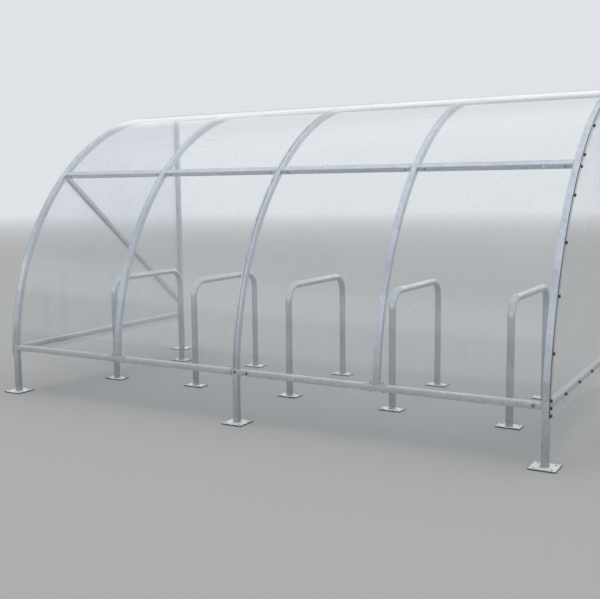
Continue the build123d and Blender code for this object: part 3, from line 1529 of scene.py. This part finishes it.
@dataclass
class Sheets(Assembly):
    """Clear sheets: two bent over the hoops, two flat ones at the ends, and the fixings of all four."""

    thickness: float = 0.004
    ease: float = 0.0003
    arc_steps: int = 200
    merge: float = 1e-5
    cap: Fixing = Fixing(Head.CAP, 0.0085, 0.0065, washer=0.0105)
    foot_cap_drop: float = 0.009
    arc_caps: tuple[float, ...] = (0.5, 3.0, 10.7, 20.2, 29.7, 39.2, 45.9, 49.0, 58.2, 67.7, 77.2, 86.7)
    post_cap_step: float = 0.31
    first_rail_cap: float = 0.363
    rail_cap_step: float = 0.357
    last_cap_gap: float = 0.1
    screw: Fixing = Fixing(Head.DOME, 0.0042, 0.0022)
    first_screw: float = math.radians(5)
    screw_step: float = math.radians(9.5)
    screws_past_turn: float = math.radians(8)
    joint_screw_inset: float = 0.009

    def build(self) -> None:
        """Builds the curved sheets, dresses the flat ones and adds the fixings of both."""
        smooth = self.smooth_faces()
        for end in ("left", "right"):
            self.curved(end)
            self.dress(f"end_sheet_{end}", smooth)
            self.end_caps(end)
        self.hoop_screws()

    def curved(self, end: str) -> None:
        """Builds one curved sheet, in steps so fine that its gloss runs evenly.

        Args:
            end: left or right.
        """
        bend = self.bend
        node = f"curved_sheet_{end}"
        box = Box.of(node)
        outside = (box.high.z - bend.spring_z - bend.run * math.cos(bend.turn)) / math.sin(bend.turn)
        start = math.asin((box.low.z - bend.spring_z) / (outside - self.thickness))
        stations = bend.stations(box.middle.x, start, outside - self.thickness / 2, 0.0, self.arc_steps)
        work = Workpiece()
        work.run(stations, rectangle(box.high.x - box.low.x, self.thickness, self.ease))
        work.done(f"bent_sheet_{end}", self.finishes.curved, Slot.CURVED, node)

    def dress(self, node: str, smooth: bpy.types.NodeTree) -> None:
        """Gives one flat sheet its finish and smooth faces.

        Args:
            node: the sheet's node.
            smooth: the node group that shades faces smooth.
        """
        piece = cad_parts[node]
        piece.data.materials.clear()
        piece.data.materials.append(self.finishes.flat)
        piece.modifiers.new("weld", "WELD").merge_threshold = self.merge
        piece.modifiers.new("smooth_faces", "NODES").node_group = smooth
        LOG.info("%s: dressed", node)

    @staticmethod
    def smooth_faces() -> bpy.types.NodeTree:
        """Makes the node group that shades faces smooth, apart from sharp edges.

        Returns:
            The node group.
        """
        group = bpy.data.node_groups.new("smooth_faces", "GeometryNodeTree")
        for way in ("INPUT", "OUTPUT"):
            group.interface.new_socket("Geometry", in_out=way, socket_type="NodeSocketGeometry")
        bench = Bench(group)
        given = bench.add("NodeGroupInput").outputs[0]
        angle = bench.add("GeometryNodeInputMeshEdgeAngle").outputs[0]
        sharp = bench.add("FunctionNodeCompare", {"operation": "GREATER_THAN"}, {0: angle, 1: SMOOTH_LIMIT})
        faces = bench.add("GeometryNodeSetShadeSmooth", {"domain": "FACE"}, {"Geometry": given})
        inputs = {"Geometry": faces.outputs[0], "Selection": sharp.outputs[0], "Shade Smooth": False}
        edges = bench.add("GeometryNodeSetShadeSmooth", {"domain": "EDGE"}, inputs)
        bench.add("NodeGroupOutput", None, {0: edges.outputs[0]})
        return group

    def end_caps(self, end: str) -> None:
        """Adds the dark caps of one end sheet, along hoop, post and end rail.

        Args:
            end: left or right.
        """
        layout, bend = self.layout, self.bend
        box = Box.of(f"end_sheet_{end}")
        x, facing = (box.low.x, -X_AXIS) if end == "left" else (box.high.x, X_AXIS)
        places = [Vector((x, layout.leg_y, layout.rail_z - self.foot_cap_drop))]
        places += [bend.point(x, math.radians(degrees), bend.middle) for degrees in self.arc_caps]
        post_y, top = layout.front - self.half, bend.spring_z + bend.inside
        up_post = row(layout.rail_z, top - self.last_cap_gap, self.post_cap_step)
        along_rail = row(layout.back + self.first_rail_cap, post_y - self.last_cap_gap, self.rail_cap_step)
        places += [Vector((x, post_y, z)) for z in up_post]
        places += [Vector((x, y, layout.rail_z)) for y in along_rail]
        work = Workpiece()
        for at in places:
            self.cap.place(work, at, facing)
        work.done(f"end_sheet_caps_{end}", self.finishes.cap, Slot.FLAT)

    def hoop_screws(self) -> None:
        """Adds the small screws that hold the curved sheets on the hoops, in two rows at the joint."""
        layout, bend, inset = self.layout, self.bend, self.joint_screw_inset
        left, right = Box.of("curved_sheet_left"), Box.of("curved_sheet_right")
        joint = (left.high.x + right.low.x) / 2
        radius = bend.centre_y - left.low.y
        work = Workpiece()
        for number in layout.hoops:
            x = layout.hoop_x(number)
            screws_x = (x - inset, x + inset) if abs(x - joint) < self.half else (x,)
            for angle in row(self.first_screw, bend.turn + self.screws_past_turn, self.screw_step):
                facing = bend.outward(min(angle, bend.turn))
                for screw_x in screws_x:
                    self.screw.place(work, bend.point(screw_x, angle, radius), facing)
        work.done("curved_sheet_screws", self.finishes.bolt, Slot.CURVED)


@dataclass(frozen=True)
class PlainFloor(Finish):
    """A plain floor that fades into the background far from the shelter."""

    colour: Colour
    background: Colour
    roughness: float = 0.9
    specular: float = 0.1
    fade: Span = (13.0, 60.0)

    def shader(self, bench: Bench) -> Socket:
        """Builds the shader.

        Args:
            bench: the material's node tree.

        Returns:
            The shader's output.
        """
        inputs = {"Base Color": self.colour, "Roughness": self.roughness, "Specular IOR Level": self.specular}
        plain = bench.shader("BsdfPrincipled", inputs)
        glow = bench.shader("Emission", {"Color": self.background, "Strength": 1.0})
        distance = bench.add("ShaderNodeVectorMath", {"operation": "LENGTH"}, {0: bench.point})
        far = bench.value(distance, "Value").spread(*self.fade)
        return bench.shader("MixShader", {0: far * background_seen(bench), 1: plain, 2: glow})


def background_seen(bench: Bench) -> Value:
    """1 for rays that show the background: from the camera, a gloss or a clear sheet.

    Args:
        bench: the node tree that asks.

    Returns:
        The value, 0 for all other rays.
    """
    path = bench.add("ShaderNodeLightPath")
    kinds = ("Camera", "Glossy", "Transmission")
    camera, gloss, clear = (bench.value(path, f"Is {kind} Ray") for kind in kinds)
    return camera.most(gloss).most(clear)


@dataclass
class Studio:
    """Floor, background, soft daylight from above, and camera."""

    floor_colour: Colour = (0.39, 0.39, 0.385)
    floor_reach: float = 80.0
    floor_sides: int = 96
    background: Colour = (0.74, 0.765, 0.795)
    light_colour: Colour = (0.97, 0.985, 1.0)
    level_light: float = 0.26
    overhead_light: float = 1.45
    overhead: Span = (0.25, 1.0)
    cloud_glow: float = 0.62
    cloud_low: Span = (0.215, 0.29)
    cloud_high: Span = (0.52, 0.38)
    zenith_glow: float = 0.50
    zenith: Span = (0.60, 0.84)
    camera_at: tuple[float, float, float] = (3.1423, -5.6948, 1.5053)
    yaw: float = math.radians(29.673)
    pitch: float = math.radians(-7.054)
    roll: float = math.radians(-0.531)
    focal_pixels: float = 879.91
    picture_width: float = 600.0
    sight: float = 200.0

    def build(self) -> None:
        """Sets up the whole studio."""
        self.floor()
        self.world()
        self.camera()
        bpy.context.scene.view_settings.view_transform = "Standard"

    def floor(self) -> None:
        """Lays the floor."""
        shape = bmesh.new()
        bmesh.ops.create_circle(shape, cap_ends=True, radius=self.floor_reach, segments=self.floor_sides)
        data = bpy.data.meshes.new("floor")
        shape.to_mesh(data)
        shape.free()
        data.materials.append(PlainFloor("plain_floor", self.floor_colour, self.background).material())
        floor = bpy.data.objects.new("floor", data)
        bpy.context.scene.collection.objects.link(floor)
        LOG.info("floor: laid")

    def world(self) -> None:
        """Soft daylight, strongest overhead, with a plain pale background under a hazy sky."""
        world = bpy.data.worlds.new("plain_daylight")
        world.use_nodes = True
        bpy.context.scene.world = world
        bench = Bench(world.node_tree)
        height = bench.height(bench.add("ShaderNodeTexCoord").outputs["Generated"])
        strength = height.spread(*self.overhead) * self.overhead_light + self.level_light
        light = bench.shader("Background", {"Color": self.light_colour, "Strength": strength})
        clouds = height.spread(*self.cloud_low) * height.spread(*self.cloud_high) * self.cloud_glow
        glow = clouds + height.spread(*self.zenith) * self.zenith_glow + 1
        plain = bench.shader("Background", {"Color": self.background, "Strength": glow})
        mix = bench.shader("MixShader", {0: background_seen(bench), 1: light, 2: plain})
        bench.show(mix, "ShaderNodeOutputWorld")

    def camera(self) -> None:
        """Sets the camera at the photograph's place and angle."""
        level = Vector((math.cos(self.yaw), math.sin(self.yaw), 0))
        forward = Vector((-math.sin(self.yaw), math.cos(self.yaw), 0))
        ahead = forward * math.cos(self.pitch) + Z_AXIS * math.sin(self.pitch)
        right = level * math.cos(self.roll) + level.cross(ahead) * math.sin(self.roll)
        turned = Matrix((right, right.cross(ahead), -ahead)).transposed().to_4x4()
        data = bpy.data.cameras.new("camera")
        data.lens = data.sensor_width * self.focal_pixels / self.picture_width
        data.clip_end = self.sight
        camera = bpy.data.objects.new("camera", data)
        camera.matrix_world = Matrix.Translation(Vector(self.camera_at)) @ turned
        bpy.context.scene.collection.objects.link(camera)
        bpy.context.scene.camera = camera


def main() -> None:
    """Builds the sub-assemblies in order, then the studio."""
    logging.basicConfig(level=logging.INFO, format="%(message)s")
    layout = Layout.from_frame(BoxSection(), outside=1.905, turn=math.radians(86))
    finishes = Finishes.make()
    for assembly in (Hoops, Posts, Rails, Feet, Stands, Sheets):
        assembly(layout, finishes).build()
    Studio().build()


if __name__ == "__main__":
    main()
